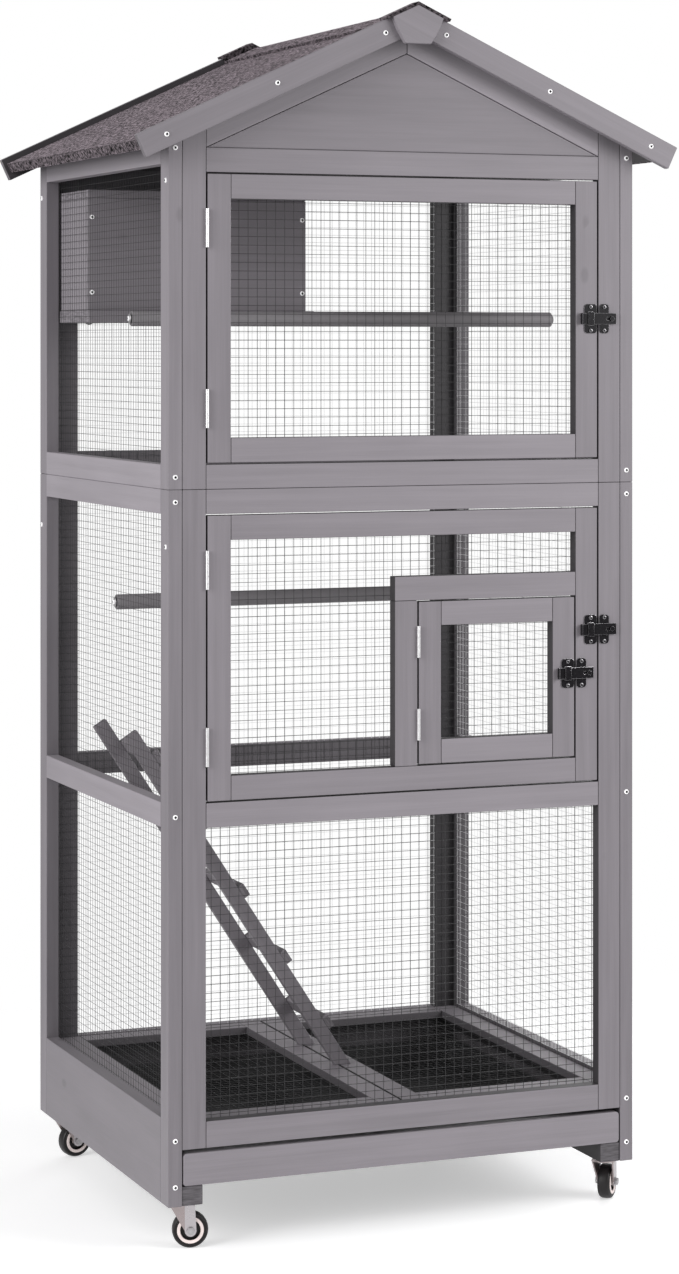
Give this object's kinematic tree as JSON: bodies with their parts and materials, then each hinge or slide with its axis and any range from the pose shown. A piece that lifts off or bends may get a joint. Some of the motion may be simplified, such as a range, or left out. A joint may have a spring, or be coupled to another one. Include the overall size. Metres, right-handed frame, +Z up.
{
  "type": "flight bird cage",
  "caption": "Free-standing timber flight cage for birds with a felted gable roof, wire mesh walls, hinged doors, nest box, ladder, perches, pull-out tray and swivel casters.",
  "frame": {"origin": "on the floor, at the middle of the footprint", "axes": "+Z up, -Y out of the front with the doors, +X to the right as seen from the front"},
  "size_m": [0.811, 0.728, 1.7175],
  "materials": {
    "timber": "grey-lilac opaque stain with faint grain and knots, satin",
    "dowel": "round dowel, dark grey stain",
    "felt": "mauve-brown mineral felt with fine granules and dark edges",
    "wire": "dark welded wire, thin coat",
    "latch": "black coated pressed steel, satin",
    "zinc": "bright zinc plate",
    "tray": "black moulded pan, matte",
    "wheel": "black tyre round a cream hub"
  },
  "bodies": {
    "cage": {"lower_left_panel": "timber", "lower_right_panel": "timber", "lower_front_frame": "timber", "lower_back_panel": "timber", "upper_left_panel": "timber", "upper_right_panel": "timber", "upper_front_frame": "timber", "upper_back_panel": "timber", "gables": "timber", "roof_panels": "timber", "roof_felt": "felt", "ridge_cap": "felt", "barge_boards": "timber", "apex_plates": "timber", "side_meshes": "wire", "back_meshes": "wire", "lower_front_mesh": "wire", "floor_frames": "timber", "floor_meshes": "wire", "base_bearers": "timber", "nest_box_walls": "timber", "nest_box_front": "timber", "nest_box_shelf": "timber", "nest_box_lid": "timber", "perches": "dowel", "ladder_stringers": "timber", "ladder_rungs": "timber", "frame_screws": "zinc", "inner_fixings": "zinc", "stile_hinge_leaves": "zinc", "frame_latch_keepers": "latch", "caster_plates": "zinc", "caster_screws": "zinc"},
    "upper_door": {"upper_door_frame": "timber", "upper_door_mesh": "wire", "upper_door_hinge_leaves": "zinc", "upper_latch_guide": "latch"},
    "upper_latch": {"upper_latch_bolt": "latch"},
    "lower_door": {"lower_door_frame": "timber", "lower_door_mesh": "wire", "lower_door_hinge_leaves": "zinc", "lower_latch_guide": "latch", "pass_stile_hinge_leaves": "zinc", "small_latch_keeper": "latch"},
    "lower_latch": {"lower_latch_bolt": "latch"},
    "small_door": {"small_door_frame": "timber", "small_door_mesh": "wire", "small_door_hinge_leaves": "zinc", "small_latch_guide": "latch"},
    "small_latch": {"small_latch_bolt": "latch"},
    "tray": {"tray_pan": "tray", "tray_front": "timber"},
    "front_left_swivel": {"front_left_fork": "zinc"},
    "front_left_roller": {"front_left_wheel": "wheel"},
    "front_right_swivel": {"front_right_fork": "zinc"},
    "front_right_roller": {"front_right_wheel": "wheel"},
    "back_left_swivel": {"back_left_fork": "zinc"},
    "back_left_roller": {"back_left_wheel": "wheel"},
    "back_right_swivel": {"back_right_fork": "zinc"},
    "back_right_roller": {"back_right_wheel": "wheel"}
  },
  "joints": [
    {"name": "upper_door_hinge", "type": "hinge", "parent": "cage", "child": "upper_door", "pos_m": [-0.2948, -0.3226, 1.27688], "axis": [0, 0, -1], "range_deg": [0, 165]},
    {"name": "lower_door_hinge", "type": "hinge", "parent": "cage", "child": "lower_door", "pos_m": [-0.2948, -0.3226, 0.8115], "axis": [0, 0, -1], "range_deg": [0, 150]},
    {"name": "small_door_hinge", "type": "hinge", "parent": "lower_door", "child": "small_door", "pos_m": [0.0168, -0.3226, 0.766], "axis": [0, 0, -1], "range_deg": [0, 150]},
    {"name": "upper_latch_slide", "type": "slide", "parent": "upper_door", "child": "upper_latch", "axis": [1, 0, 0], "range_m": [0, 0.007]},
    {"name": "lower_latch_slide", "type": "slide", "parent": "lower_door", "child": "lower_latch", "axis": [1, 0, 0], "range_m": [0, 0.007]},
    {"name": "small_latch_slide", "type": "slide", "parent": "small_door", "child": "small_latch", "axis": [1, 0, 0], "range_m": [0, 0.007]},
    {"name": "tray_slide", "type": "slide", "parent": "cage", "child": "tray", "axis": [0, -1, 0], "range_m": [0, 0.45]},
    {"name": "front_left_caster_swivel", "type": "hinge", "parent": "cage", "child": "front_left_swivel", "pos_m": [-0.324, -0.278, 0.066], "axis": [0, 0, 1], "continuous": true},
    {"name": "front_left_wheel_spin", "type": "hinge", "parent": "front_left_swivel", "child": "front_left_roller", "pos_m": [-0.30654, -0.28236, 0.025], "axis": [0.2419, 0.9703, 0], "continuous": true},
    {"name": "front_right_caster_swivel", "type": "hinge", "parent": "cage", "child": "front_right_swivel", "pos_m": [0.324, -0.278, 0.066], "axis": [0, 0, 1], "continuous": true},
    {"name": "front_right_wheel_spin", "type": "hinge", "parent": "front_right_swivel", "child": "front_right_roller", "pos_m": [0.33557, -0.26421, 0.025], "axis": [-0.766, 0.6428, 0], "continuous": true},
    {"name": "back_left_caster_swivel", "type": "hinge", "parent": "cage", "child": "back_left_swivel", "pos_m": [-0.324, 0.278, 0.066], "axis": [0, 0, 1], "continuous": true},
    {"name": "back_left_wheel_spin", "type": "hinge", "parent": "back_left_swivel", "child": "back_left_roller", "pos_m": [-0.30639, 0.28174, 0.025], "axis": [-0.2079, 0.9781, 0], "continuous": true},
    {"name": "back_right_caster_swivel", "type": "hinge", "parent": "cage", "child": "back_right_swivel", "pos_m": [0.324, 0.278, 0.066], "axis": [0, 0, 1], "continuous": true},
    {"name": "back_right_wheel_spin", "type": "hinge", "parent": "back_right_swivel", "child": "back_right_roller", "pos_m": [0.333, 0.29359, 0.025], "axis": [-0.866, 0.5, 0], "continuous": true}
  ]
}
